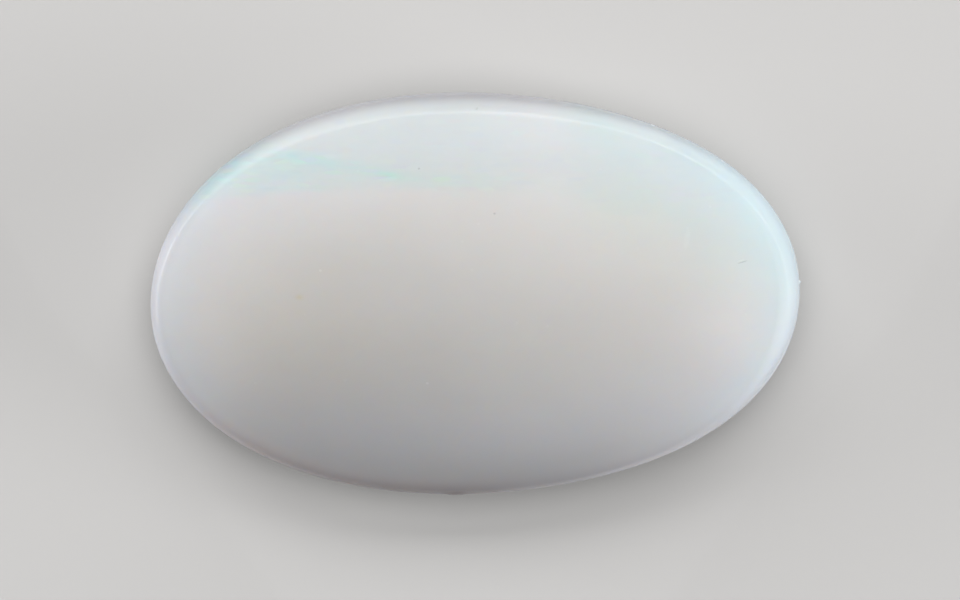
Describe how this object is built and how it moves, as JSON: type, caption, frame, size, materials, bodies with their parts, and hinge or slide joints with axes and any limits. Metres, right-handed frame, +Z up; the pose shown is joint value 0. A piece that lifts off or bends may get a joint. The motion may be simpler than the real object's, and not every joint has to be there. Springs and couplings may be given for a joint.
{
  "type": "oval opal cabochon",
  "caption": "Polished oval milky-white opal: a low dome rolling over a rounded shoulder to the girdle, a flat bevelled base, and soft blue-green colour play along one long side.",
  "frame": {"origin": "middle of the flat base, under the middle of the oval", "axes": "+X along the stone's length, +Y across it towards the side with the colour play, +Z up out of the dome"},
  "size_m": [0.016, 0.0098, 0.0033],
  "materials": {
    "opal": "polished"
  },
  "bodies": {
    "root": {"opal_stone": "opal"}
  },
  "joints": []
}
